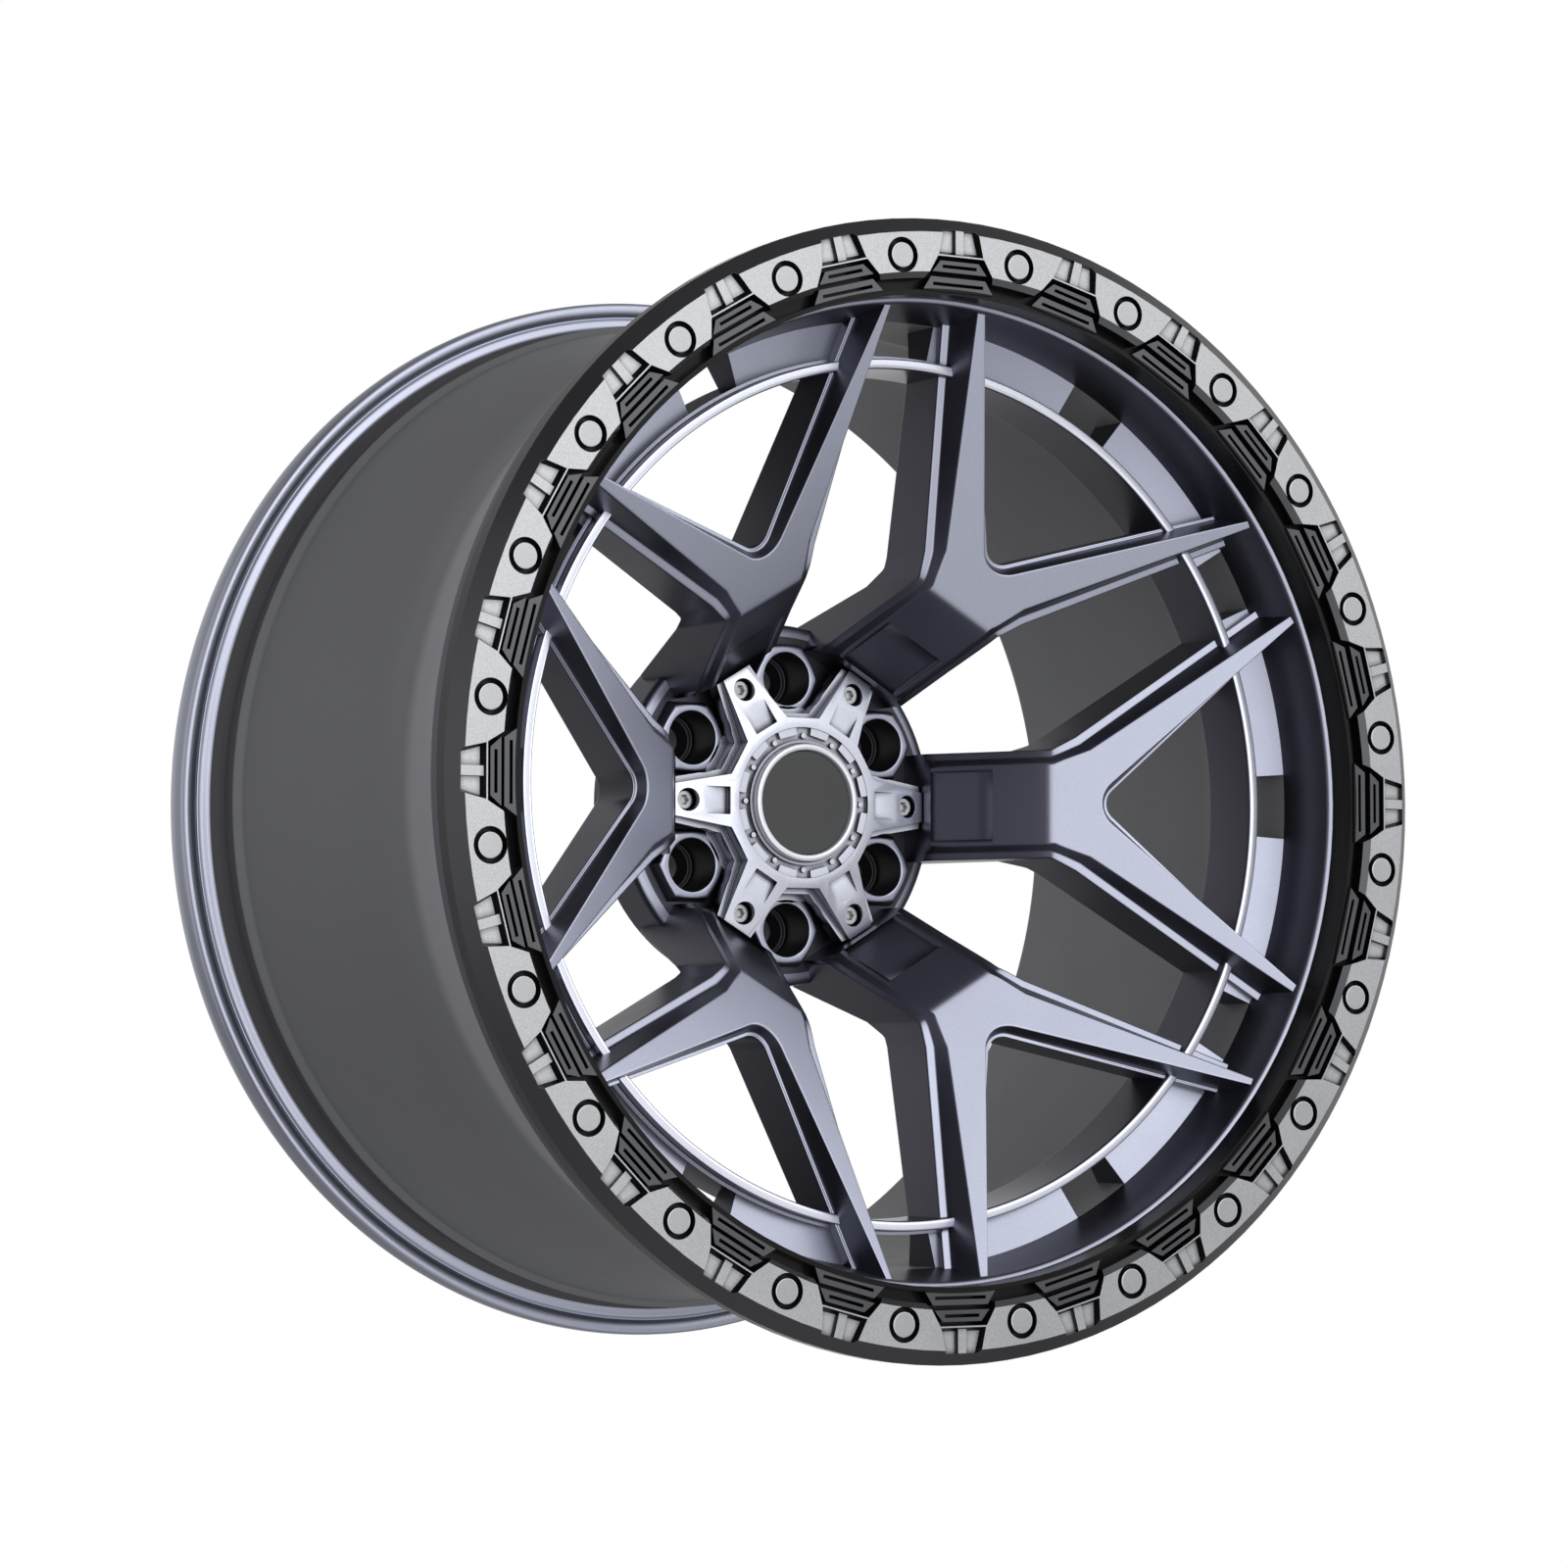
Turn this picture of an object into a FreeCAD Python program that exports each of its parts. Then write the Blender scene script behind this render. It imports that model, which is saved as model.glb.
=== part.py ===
"""Deep-dish six-lug off-road alloy wheel with a bolted trim ring and a six-arm hub cap.

The wheel turns about Y. Its outboard face looks towards -Y, +Z is up, and the origin is on the
spin axis at half the overall width. Millimetres and degrees.
"Depth" is measured inboard from the outboard face of the trim ring. "Radius" is from the spin axis.
"Along" and "across" are measured on a spoke that lies on +X: along it from the axis, across it in Z.
"""
import FreeCAD
import Part
import math
import os

# Overall sizes of the wheel
overall_width = 345.0
flange_radius = 300.0
wall_thickness = 7.0

# Barrel, tyre side
outboard_flange_radius = flange_radius - 3.0
outboard_flange_thickness = 8.0
bead_seat_radius = flange_radius - 19.5
bead_seat_width = 24.0
well_radius = bead_seat_radius - 15.5
well_depth = 130.0
hump_height = 2.0
hump_width = 10.0
inboard_flange_thickness = 24.0
flange_roll = 9.0
seat_blend = 9.0
mouth_flare = 4.0

# Outboard lip, ledge and hoop that carry the spokes
lip_radius = flange_radius - 42.5
lip_round = 3.5
ledge_radius = lip_radius - 5.5
ledge_depth = 57.0
hoop_inner_radius = ledge_radius - 25.5
hoop_thickness = 5.5
hoop_height = 5.0
hoop_length = 38.0
ledge_back_rise = 20.0

# Windows between the hoop and the lip, one at every spoke and one between spokes
window_count = 12
window_half_angle = 4.1
window_inner_gap = 2.0

# Six Y spokes: the face and the shoulder below it are planes that climb outwards
spoke_count = 6
knee_along = 122.0
knee_depth = 92.0
face_slope = 0.575
shoulder_drop = 3.0
shoulder_slope = 0.426
back_depth = 135.5
back_slope = 0.5275
stem_half_width = 22.5
elbow_along = 138.5
elbow_half_width = 29.5
leg_outer_slope = 0.773
leg_inner_slope = 1.01
fork_along = 137.7
fork_round = 16.5
leg_end_along = ledge_radius - 12.0
bevel_run = 3.5
shoulder_width = 4.0
back_pocket_wall = 7.0
back_pocket_draft = 1.5
back_pocket_skin = 13.0
back_pocket_end = hoop_inner_radius - 5.0

# Hub
hub_radius = 101.0
lug_face_depth = 176.0
hub_front_depth = lug_face_depth + 8.0
hub_back_depth = lug_face_depth + 40.5
hub_edge_round = 7.0
bore_diameter = 106.1
lug_count = 6
lug_circle = 139.7
lug_boss_radius = 19.5
lug_pocket_diameter = 29.0
lug_seat_depth = lug_face_depth + 25.0
lug_seat_cone = 6.0
stud_hole_diameter = 15.5
mounting_pad_radius = 92.0
pad_relief = 1.5
cap_recess_radius = 55.0
cap_recess_length = 14.0
lug_seat_step = 3.0

# Stem of each spoke, from the knee down to the hub
stem_foot_along = 82.4
stem_foot_depth = lug_face_depth - 18.0
stem_shoulder_drop = 6.0
stem_back_along = 129.0
stem_back_foot_along = 99.0
stem_back_foot_depth = hub_back_depth - 8.0
stem_pocket_along = 102.0
stem_pocket_half_width = 19.0
stem_pocket_depth = 5.0

# Trim ring bolted to the outboard flange
ring_thickness = 20.0
ring_bevel_width = 8.0
ring_bevel_depth = 7.0
ring_inner_radius = lip_radius + 2.0
ring_rim_width = 2.5
ring_rim_depth = 4.0
ring_channel_depth = 10.0
land_inner_radius = ring_inner_radius + 8.5
land_chamfer = 3.0
ring_back_bevel = 5.0
ring_bolt_count = 24
ring_bolt_circle = flange_radius - 20.0
bolt_head_diameter = 13.5
bolt_recess_diameter = 18.7
bolt_recess_depth = 5.0
bolt_shank_diameter = 8.0
bolt_thread_length = 10.0
bolt_clearance = 0.3

# Notches of the trim ring, between the bolts
notch_outer_radius = flange_radius - 20.8
notch_outer_width = 29.0
notch_inner_width = 49.0
upper_bar_inner_radius = ring_inner_radius + 11.5
upper_bar_outer_radius = ring_inner_radius + 17.5
upper_bar_width = 24.0
upper_bar_depth = 1.5
lower_bar_outer_radius = ring_inner_radius + 9.0
lower_bar_width = 34.0
lower_bar_depth = 3.0
bar_flank = 5.0
bar_slot_width = 1.8
bar_slot_end = 2.5
tooth_inner_radius = flange_radius - 20.0
tooth_outer_radius = flange_radius - 6.5
tooth_inner_width = 28.0
tooth_outer_width = 22.0
tooth_depth = 3.5
tooth_rib_width = 5.0
tooth_draft = 2.0
tooth_rib_height = 2.0

# Hub cap: a six-arm star with a stud ring, a bezel and a plain disc
cap_arm_count = 6
cap_depth = lug_face_depth - 18.2
cap_boss_radius = 43.2
cap_arm_slope = 0.175
cap_arm_length = 81.8
cap_arm_tip_half_width = 8.2
cap_arm_root_half_width = 14.5
cap_valley_radius = 47.0
cap_skirt_width = 3.0
cap_skirt_drop = 9.0
cap_arm_pocket_depth = 4.0
cap_arm_pocket_half_width = 7.5
cap_arm_pocket_end = 61.0
cap_arm_border = 3.5
cap_channel_inner_radius = 34.5
cap_channel_depth = 2.5
cap_channel_rim = 1.5
cap_pad_count = 12
cap_pad_half_angle = 8.5
cap_pad_inner_radius = 37.2
cap_pad_drop = 0.4
cap_stud_radius = 1.5
cap_stud_circle = 37.0
cap_clearance = 0.3
cap_plug_length = 10.0
cap_plug_wall = 3.0
cap_screw_circle = 141.6
cap_screw_head_diameter = 10.0
cap_screw_recess_diameter = 12.6
cap_screw_head_height = 5.0
cap_screw_floor = 4.0
cap_screw_shank_diameter = 5.0
cap_screw_thread_length = 12.0
cap_screw_socket = 5.0
cap_screw_socket_depth = 3.0
bezel_outer_radius = 32.6
bezel_inner_radius = 28.8
bezel_proud = 4.3
bezel_round = 1.5
disc_thickness = 3.0
disc_recess = 1.0

# Valve hole, drilled straight through the barrel wall behind the ledge
valve_hole_diameter = 11.5
valve_angle = 345.0
valve_depth = 132.0
valve_drill_length = 40.0

# How far a cutter runs past the face that it cuts
overshoot = 1.0

half_width = overall_width / 2
axis_outboard = FreeCAD.Vector(0, -1, 0)
axis_inboard = FreeCAD.Vector(0, 1, 0)
centre = FreeCAD.Vector(0, 0, 0)


def at(along, depth, across=0.0):
    """A point on the spoke that lies on +X."""
    return FreeCAD.Vector(along, depth - half_width, across)


def turned(shape, angle):
    """A copy of the shape turned about the spin axis, counter-clockwise seen from outboard."""
    copy = shape.copy()
    copy.rotate(centre, axis_outboard, angle)
    return copy


def ring_of(shape, count, first=0.0):
    """Copies of the shape, evenly spaced about the spin axis."""
    return [turned(shape, first + 360.0 * i / count) for i in range(count)]


def line(points):
    """Straight edges through the points."""
    return [Part.LineSegment(a, b).toShape() for a, b in zip(points, points[1:])]


def arc(start, middle, end):
    """One circular edge through three points."""
    return Part.Arc(start, middle, end).toShape()


def curve(start, bend, end, steps=2):
    """Points of the parabola that leaves the start towards the bend and reaches the end from it."""
    shares = [i / steps for i in range(steps + 1)]
    return [tuple((1 - t) ** 2 * a + 2 * t * (1 - t) * b + t * t * c for a, b, c in zip(start, bend, end))
            for t in shares]


def s_curve(start, end):
    """Points of a soft step between two radii: half of it bends one way and half the other."""
    middle = ((start[0] + end[0]) / 2, (start[1] + end[1]) / 2)
    quarter = (middle[1] - start[1]) / 2
    first = curve(start, (start[0], start[1] + quarter), middle)
    return first[:-1] + curve(middle, (end[0], end[1] - quarter), end)


def turned_polygon(corners):
    """A turned solid whose outline has straight sides. Corners are radius and depth."""
    points = [at(radius, depth) for radius, depth in corners]
    face = Part.Face(Part.makePolygon(points + points[:1]))
    return face.revolve(centre, axis_inboard, 360)


def cylinder(radius, top_depth, bottom_depth, along=0.0, across=0.0):
    """A round bar along the spin axis."""
    return Part.makeCylinder(radius, bottom_depth - top_depth, at(along, top_depth, across), axis_inboard)


def prism(outline, top_depth, bottom_depth):
    """A straight prism along the spin axis. The outline is a list of along and across."""
    points = [at(along, top_depth, across) for along, across in outline]
    face = Part.Face(Part.makePolygon(points + points[:1]))
    return face.extrude(axis_inboard * (bottom_depth - top_depth))


def trapezoid(inner_radius, outer_radius, inner_width, outer_width):
    """Outline of a block that is centred on +X and flares inwards or outwards."""
    inner, outer = inner_width / 2, outer_width / 2
    return [(inner_radius, -inner), (outer_radius, -outer), (outer_radius, outer), (inner_radius, inner)]


def slab(side_outline, half_width_across):
    """A plate of even width. The side outline is a list of along and depth."""
    points = [at(along, depth, -half_width_across) for along, depth in side_outline]
    face = Part.Face(Part.makePolygon(points + points[:1]))
    return face.extrude(FreeCAD.Vector(0, 0, 2 * half_width_across))


# Rim


def rim():
    """Barrel, outboard lip, ledge and hoop as one turned section."""
    flange_back = ring_thickness + outboard_flange_thickness
    seat_start = flange_back + seat_blend
    seat_end = seat_start + bead_seat_width
    inner_flange = overall_width - inboard_flange_thickness
    hump_end = inner_flange - bead_seat_width
    hump_start = hump_end - hump_width
    hump_top = (hump_start + hump_end) / 2
    seat_foot = bead_seat_radius - hump_height
    roll_foot = flange_radius - flange_roll
    mouth_radius = seat_foot - wall_thickness + mouth_flare
    hoop_outer = hoop_inner_radius + hoop_thickness
    hoop_front = ledge_depth - hoop_height
    hoop_back = hoop_front + hoop_length
    well_inner = well_radius - wall_thickness
    lip_foot = ring_thickness + lip_round
    lip_front = (lip_radius + lip_round, ring_thickness)
    outline = [lip_front, (outboard_flange_radius, ring_thickness)]
    outline += curve((outboard_flange_radius, flange_back), (bead_seat_radius, flange_back),
                     (bead_seat_radius, seat_start))
    outline += s_curve((bead_seat_radius, seat_end), (well_radius, well_depth))
    outline += [(seat_foot, hump_start), (seat_foot + hump_height, hump_top), (seat_foot, hump_end)]
    outline += curve((bead_seat_radius, inner_flange - seat_blend), (bead_seat_radius, inner_flange),
                     (roll_foot, inner_flange))
    outline += curve((roll_foot, inner_flange), (flange_radius, inner_flange),
                     (flange_radius, overall_width - flange_roll))[1:]
    outline += curve((flange_radius, overall_width - flange_roll), (flange_radius, overall_width),
                     (roll_foot, overall_width))[1:]
    outline += [(mouth_radius, overall_width - flange_roll), (seat_foot - wall_thickness, hump_start),
                (well_inner, well_depth), (ledge_radius, hoop_back + ledge_back_rise), (hoop_outer, hoop_back),
                (hoop_inner_radius, hoop_back), (hoop_inner_radius, hoop_front), (hoop_outer, hoop_front),
                (hoop_outer, ledge_depth), (ledge_radius, ledge_depth)]
    outline += curve((lip_radius, lip_foot), (lip_radius, ring_thickness), lip_front)[:-1]
    return turned_polygon(outline)


def rim_window():
    """One window through the ledge, between the hoop and the lip wall."""
    inner = hoop_inner_radius + hoop_thickness + window_inner_gap
    half = math.tan(math.radians(window_half_angle))
    outline = trapezoid(inner, ledge_radius, 2 * inner * half, 2 * ledge_radius * half)
    return prism(outline, ledge_depth - hoop_height, ledge_depth + hoop_length + ledge_back_rise)


# Spokes


def face_depth(along):
    return knee_depth - face_slope * (along - knee_along)


def shoulder_depth(along):
    return knee_depth + shoulder_drop - shoulder_slope * (along - knee_along)


def spoke_back_depth(along):
    return back_depth - back_slope * (along - knee_along)


def spoke_outline(depth_at, grow):
    """The Y outline on a sloping plane, grown sideways by a distance all round except at the knee."""
    outer_tilt = math.atan(leg_outer_slope)
    inner_tilt = math.atan(leg_inner_slope)
    stem = stem_half_width + grow
    knee_tilt = math.atan((elbow_half_width - stem_half_width) / (elbow_along - knee_along))
    elbow = elbow_half_width + grow / math.cos((outer_tilt + knee_tilt) / 2)
    outer_end = elbow_half_width + leg_outer_slope * (leg_end_along - elbow_along) + grow / math.cos(outer_tilt)
    fork = fork_along + grow / math.sin(inner_tilt)
    round_radius = fork_round - grow
    tangent = round_radius / math.tan(inner_tilt)
    apex = fork + round_radius * (1 / math.sin(inner_tilt) - 1)
    tangent_along = fork + tangent * math.cos(inner_tilt)
    tangent_across = tangent * math.sin(inner_tilt)
    inner_end = leg_inner_slope * (leg_end_along - fork)

    def on(along, across):
        return at(along, depth_at(along), across)

    upper = [on(knee_along, stem), on(elbow_along, elbow), on(leg_end_along, outer_end),
             on(leg_end_along, inner_end), on(tangent_along, tangent_across)]
    lower = [on(tangent_along, -tangent_across), on(leg_end_along, -inner_end), on(leg_end_along, -outer_end),
             on(elbow_along, -elbow), on(knee_along, -stem), on(knee_along, stem)]
    fork_arc = arc(upper[-1], on(apex, 0), lower[0])
    return Part.Wire(line(upper) + [fork_arc] + line(lower))


def spoke_legs():
    """Face tier over shoulder tier, each drawn between its two outlines."""
    face = spoke_outline(face_depth, 0)
    bevel_foot = spoke_outline(shoulder_depth, bevel_run)
    shoulder = spoke_outline(shoulder_depth, bevel_run + shoulder_width)
    back = spoke_outline(spoke_back_depth, bevel_run + shoulder_width)
    upper_tier = Part.makeLoft([face, bevel_foot], True, True)
    lower_tier = Part.makeLoft([shoulder, back], True, True)
    return upper_tier.fuse(lower_tier)


def spoke_back_pocket():
    """Hollow in the back of both legs, left by the core of the casting. It stops short of the hoop."""
    def floor_depth(along):
        return shoulder_depth(along) + back_pocket_skin

    def mouth_depth(along):
        return spoke_back_depth(along) + overshoot

    side = bevel_run + shoulder_width - back_pocket_wall
    floor = spoke_outline(floor_depth, side - back_pocket_draft)
    mouth = spoke_outline(mouth_depth, side)
    return Part.makeLoft([floor, mouth], True, True).common(cylinder(back_pocket_end, 0, overall_width))


def spoke_stem():
    """The steep stem between knee and hub, with a shallow pocket at its foot."""
    stem_slope = (stem_foot_depth - knee_depth) / (knee_along - stem_foot_along)
    lower = slab([(knee_along, knee_depth + stem_shoulder_drop),
                  (stem_foot_along, stem_foot_depth + stem_shoulder_drop),
                  (stem_foot_along, stem_back_foot_depth), (stem_back_foot_along, stem_back_foot_depth),
                  (stem_back_along, spoke_back_depth(stem_back_along))],
                 stem_half_width + bevel_run + shoulder_width)
    upper = slab([(knee_along, knee_depth), (stem_foot_along, stem_foot_depth),
                  (stem_foot_along, stem_foot_depth + 2 * stem_shoulder_drop),
                  (knee_along, knee_depth + 2 * stem_shoulder_drop)], stem_half_width)
    pocket_start = knee_depth + stem_slope * (knee_along - stem_pocket_along)
    reach = stem_pocket_along - stem_foot_along
    pocket_floor = pocket_start + stem_pocket_depth
    beyond_foot = stem_foot_along - overshoot
    pocket = slab([(stem_pocket_along, pocket_start - reach), (stem_pocket_along, pocket_floor),
                   (beyond_foot, pocket_floor + stem_slope * (reach + overshoot)),
                   (beyond_foot, pocket_start - reach)], stem_pocket_half_width)
    return upper.fuse(lower).cut(pocket)


def inside_of_lip():
    """Everything that lies within the middle of the lip wall, to end the spoke legs in it."""
    top = ring_thickness + lip_round + overshoot
    upper, lower = lip_radius + lip_round / 2, ledge_radius + lip_round / 2
    return turned_polygon([(0, top), (upper, top), (lower, ledge_depth), (lower, overall_width),
                           (0, overall_width)])


# Hub


def hub():
    """Hub disc with its lug bosses and the seats of the cap arms, before the holes."""
    pad_back = hub_back_depth - pad_relief
    shoulder = hub_radius - hub_edge_round
    disc = turned_polygon([(0, hub_front_depth)]
                          + curve((shoulder, hub_front_depth), (hub_radius, hub_front_depth),
                                  (hub_radius, hub_front_depth + hub_edge_round))
                          + [(hub_radius, pad_back), (mounting_pad_radius, pad_back),
                             (mounting_pad_radius, hub_back_depth), (0, hub_back_depth)])
    boss = cylinder(lug_boss_radius, lug_face_depth, hub_front_depth + overshoot, lug_circle / 2)
    seat_start = cap_screw_circle / 2 - cap_screw_recess_diameter / 2
    seat_bottom = hub_front_depth + overshoot
    seat = slab([(seat_start, lug_face_depth), (shoulder, lug_face_depth), (shoulder, seat_bottom),
                 (seat_start, seat_bottom)], cap_arm_tip_half_width)
    return disc.fuse(ring_of(boss, lug_count, 180.0 / lug_count) + ring_of(seat, cap_arm_count))


def lug_hole():
    """Pocket for a lug nut, its conical seat and the stud hole behind it."""
    along = lug_circle / 2
    pocket = cylinder(lug_pocket_diameter / 2, cap_depth, lug_seat_depth, along)
    cone = Part.makeCone(lug_pocket_diameter / 2 - lug_seat_step, stud_hole_diameter / 2, lug_seat_cone,
                         at(along, lug_seat_depth), axis_inboard)
    stud = cylinder(stud_hole_diameter / 2, lug_seat_depth, hub_back_depth + overshoot, along)
    return pocket.fuse([cone, stud])


def cap_screw_hole():
    """Blind hole in the hub for one cap screw."""
    return cylinder(cap_screw_shank_diameter / 2 + bolt_clearance, lug_face_depth - overshoot,
                    lug_face_depth + cap_screw_thread_length + overshoot, cap_screw_circle / 2)


def ring_bolt_hole():
    """Blind hole in the outboard flange for one ring bolt."""
    return cylinder(bolt_shank_diameter / 2 + bolt_clearance, ring_thickness - overshoot,
                    ring_thickness + bolt_thread_length + overshoot, ring_bolt_circle)


def valve_hole():
    """Radial hole for the tyre valve, through the well of the barrel."""
    outwards = FreeCAD.Vector(1, 0, 0)
    start = at(well_radius - valve_drill_length / 2, valve_depth)
    return turned(Part.makeCylinder(valve_hole_diameter / 2, valve_drill_length, start, outwards), valve_angle)


def wheel():
    """The one-piece casting: rim, six spokes and hub, with all its holes."""
    legs = spoke_legs().common(inside_of_lip())
    spoke = legs.cut(spoke_back_pocket()).fuse(spoke_stem())
    casting = rim().cut(ring_of(rim_window(), window_count))
    casting = casting.fuse(ring_of(spoke, spoke_count) + [hub()])
    holes = [cylinder(bore_diameter / 2, 0, overall_width),
             cylinder(cap_recess_radius, 0, lug_face_depth + cap_recess_length)]
    holes += ring_of(lug_hole(), lug_count, 180.0 / lug_count)
    holes += ring_of(cap_screw_hole(), cap_arm_count)
    holes += ring_of(ring_bolt_hole(), ring_bolt_count, 180.0 / ring_bolt_count)
    holes.append(valve_hole())
    return casting.cut(holes).removeSplitter()


# Trim ring


def slotted_bar(inner_radius, outer_radius, width, top_depth):
    """One raised bar of a notch, with a slot along its middle."""
    outline = trapezoid(inner_radius, outer_radius, width + 2 * bar_flank, width)
    bar = prism(outline, top_depth, ring_channel_depth + overshoot)
    middle = (inner_radius + outer_radius) / 2
    slot = prism(trapezoid(middle - bar_slot_width / 2, middle + bar_slot_width / 2,
                           width - bar_slot_end, width - bar_slot_end), top_depth - overshoot,
                 ring_channel_depth)
    return bar.cut(slot)


def tooth_pocket():
    """The outer pocket of a notch: sides that lean inwards as they go down, and a rib along its middle."""
    mouth = trapezoid(tooth_inner_radius, tooth_outer_radius, tooth_inner_width, tooth_outer_width)
    floor = trapezoid(tooth_inner_radius + tooth_draft, tooth_outer_radius, tooth_inner_width - 2 * tooth_draft,
                      tooth_outer_width - 2 * tooth_draft)
    above = prism(mouth, -overshoot, 0)
    wires = [Part.makePolygon([at(along, depth, across) for along, across in outline + outline[:1]])
             for outline, depth in ((mouth, 0), (floor, tooth_depth))]
    rib = prism(trapezoid(tooth_inner_radius - overshoot, tooth_outer_radius + overshoot, tooth_rib_width,
                          tooth_rib_width), tooth_depth - tooth_rib_height, tooth_depth + overshoot)
    return Part.makeLoft(wires, True, True).fuse(above).cut(rib)


def trim_ring():
    """The bolted ring: flat lands, a dark channel inside them and a notch between each pair of bolts."""
    land_outer = flange_radius - ring_bevel_width
    rim_outer = ring_inner_radius + ring_rim_width
    body = turned_polygon([(ring_inner_radius, ring_rim_depth), (rim_outer, ring_rim_depth),
                           (rim_outer, ring_channel_depth), (land_inner_radius, ring_channel_depth),
                           (land_inner_radius, land_chamfer), (land_inner_radius + land_chamfer, 0),
                           (land_outer, 0),
                           (flange_radius, ring_bevel_depth), (flange_radius, ring_thickness - ring_back_bevel),
                           (outboard_flange_radius, ring_thickness), (ring_inner_radius, ring_thickness)])
    notch = prism(trapezoid(rim_outer, notch_outer_radius, notch_inner_width, notch_outer_width),
                  -overshoot, ring_channel_depth)
    upper_bar = slotted_bar(upper_bar_inner_radius, upper_bar_outer_radius, upper_bar_width, upper_bar_depth)
    lower_bar = slotted_bar(rim_outer - overshoot, lower_bar_outer_radius, lower_bar_width, lower_bar_depth)
    recess = cylinder(bolt_recess_diameter / 2, -overshoot, bolt_recess_depth, ring_bolt_circle)
    hole = cylinder(bolt_shank_diameter / 2 + bolt_clearance, 0, ring_thickness + overshoot, ring_bolt_circle)
    first_bolt = 180.0 / ring_bolt_count
    body = body.cut(ring_of(notch, ring_bolt_count) + ring_of(tooth_pocket(), ring_bolt_count)
                    + ring_of(recess.fuse(hole), ring_bolt_count, first_bolt))
    return body.fuse(ring_of(upper_bar.fuse(lower_bar), ring_bolt_count)).removeSplitter()


def ring_bolts():
    """Flush round heads in the recesses, with shanks through the ring into the flange."""
    head = cylinder(bolt_head_diameter / 2, 0, bolt_recess_depth, ring_bolt_circle)
    shank_end = ring_thickness + bolt_thread_length
    shank = cylinder(bolt_shank_diameter / 2, bolt_recess_depth, shank_end, ring_bolt_circle)
    bolt = head.fuse(shank).removeSplitter()
    return Part.makeCompound(ring_of(bolt, ring_bolt_count, 180.0 / ring_bolt_count))


# Hub cap


def star_outline(grow):
    """Outline of the cap star, grown by a distance: tapered arms with a flat valley between each pair."""
    step = math.radians(360.0 / cap_arm_count)
    root = cap_arm_root_half_width + grow
    valley = cap_valley_radius + grow
    root_along = (valley - root * math.sin(step / 2)) / math.cos(step / 2)
    corners = []
    for i in range(cap_arm_count):
        turn = math.cos(i * step), math.sin(i * step)
        for along, across in ((root_along, -root), (cap_arm_length + grow, -cap_arm_tip_half_width - grow),
                              (cap_arm_length + grow, cap_arm_tip_half_width + grow), (root_along, root)):
            corners.append((along * turn[0] - across * turn[1], along * turn[1] + across * turn[0]))
    return corners


def hub_cap():
    """Six-arm star that drops outwards on a wider skirt, with a padded channel round its middle and a plug."""
    tip_reach = math.hypot(cap_arm_length, cap_arm_tip_half_width) + overshoot
    tip_depth = cap_depth + cap_arm_slope * (tip_reach - cap_boss_radius)
    crown = turned_polygon([(0, cap_depth), (cap_boss_radius, cap_depth), (tip_reach, tip_depth),
                            (tip_reach, lug_face_depth), (0, lug_face_depth)])
    star = prism(star_outline(0), cap_depth - overshoot, lug_face_depth).common(crown)
    skirt_top = cap_depth + cap_skirt_drop
    skirt = prism(star_outline(cap_skirt_width), skirt_top, lug_face_depth)
    skirt = skirt.common(cylinder(cap_arm_length, skirt_top, lug_face_depth))
    plug = cylinder(cap_recess_radius - cap_clearance, lug_face_depth, lug_face_depth + cap_plug_length)
    plug = plug.cut(cylinder(cap_recess_radius - cap_clearance - cap_plug_wall, lug_face_depth + cap_plug_wall,
                             lug_face_depth + cap_plug_length + overshoot))
    channel_outer = cap_boss_radius - cap_channel_rim
    channel_floor = cap_depth + cap_channel_depth
    channel = turned_polygon([(cap_channel_inner_radius, cap_depth - overshoot),
                              (channel_outer, cap_depth - overshoot), (channel_outer, channel_floor),
                              (cap_channel_inner_radius, channel_floor)])
    pad_inner_width = 2 * cap_pad_inner_radius * math.tan(math.radians(cap_pad_half_angle))
    pad_outer_width = 2 * channel_outer * math.tan(math.radians(cap_pad_half_angle))
    pad = prism(trapezoid(cap_pad_inner_radius, channel_outer + cap_channel_rim / 2, pad_inner_width,
                          pad_outer_width), cap_depth + cap_pad_drop, channel_floor + overshoot)
    stud = cylinder(cap_stud_radius, cap_depth + cap_pad_drop, channel_floor + overshoot, cap_stud_circle)
    disc_seat = cylinder(bezel_outer_radius + cap_clearance, cap_depth - overshoot, cap_depth + disc_thickness)
    arm_pocket = slab([(cap_boss_radius + cap_arm_border, cap_depth - overshoot),
                       (cap_arm_pocket_end, cap_depth - overshoot),
                       (cap_arm_pocket_end, cap_depth + cap_arm_slope * (cap_arm_pocket_end - cap_boss_radius)),
                       (cap_boss_radius + cap_arm_border, cap_depth + cap_arm_pocket_depth)],
                      cap_arm_pocket_half_width)
    along = cap_screw_circle / 2
    screw_top = lug_face_depth - cap_screw_floor - cap_screw_head_height
    screw_seat = screw_top + cap_screw_head_height
    recess = cylinder(cap_screw_recess_diameter / 2, cap_depth - overshoot, screw_seat, along)
    hole = cylinder(cap_screw_shank_diameter / 2 + bolt_clearance, screw_top, lug_face_depth + overshoot, along)
    star = star.fuse([skirt, plug]).cut([channel, disc_seat])
    star = star.fuse(ring_of(pad, cap_pad_count, 180.0 / cap_pad_count) + ring_of(stud, cap_pad_count))
    cuts = ring_of(arm_pocket, cap_arm_count) + ring_of(recess.fuse(hole), cap_arm_count)
    lug_room = cylinder(lug_boss_radius + cap_clearance, 0, lug_face_depth, lug_circle / 2)
    cuts += ring_of(lug_room, lug_count, 180.0 / lug_count)
    return star.cut(cuts).removeSplitter()


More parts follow.
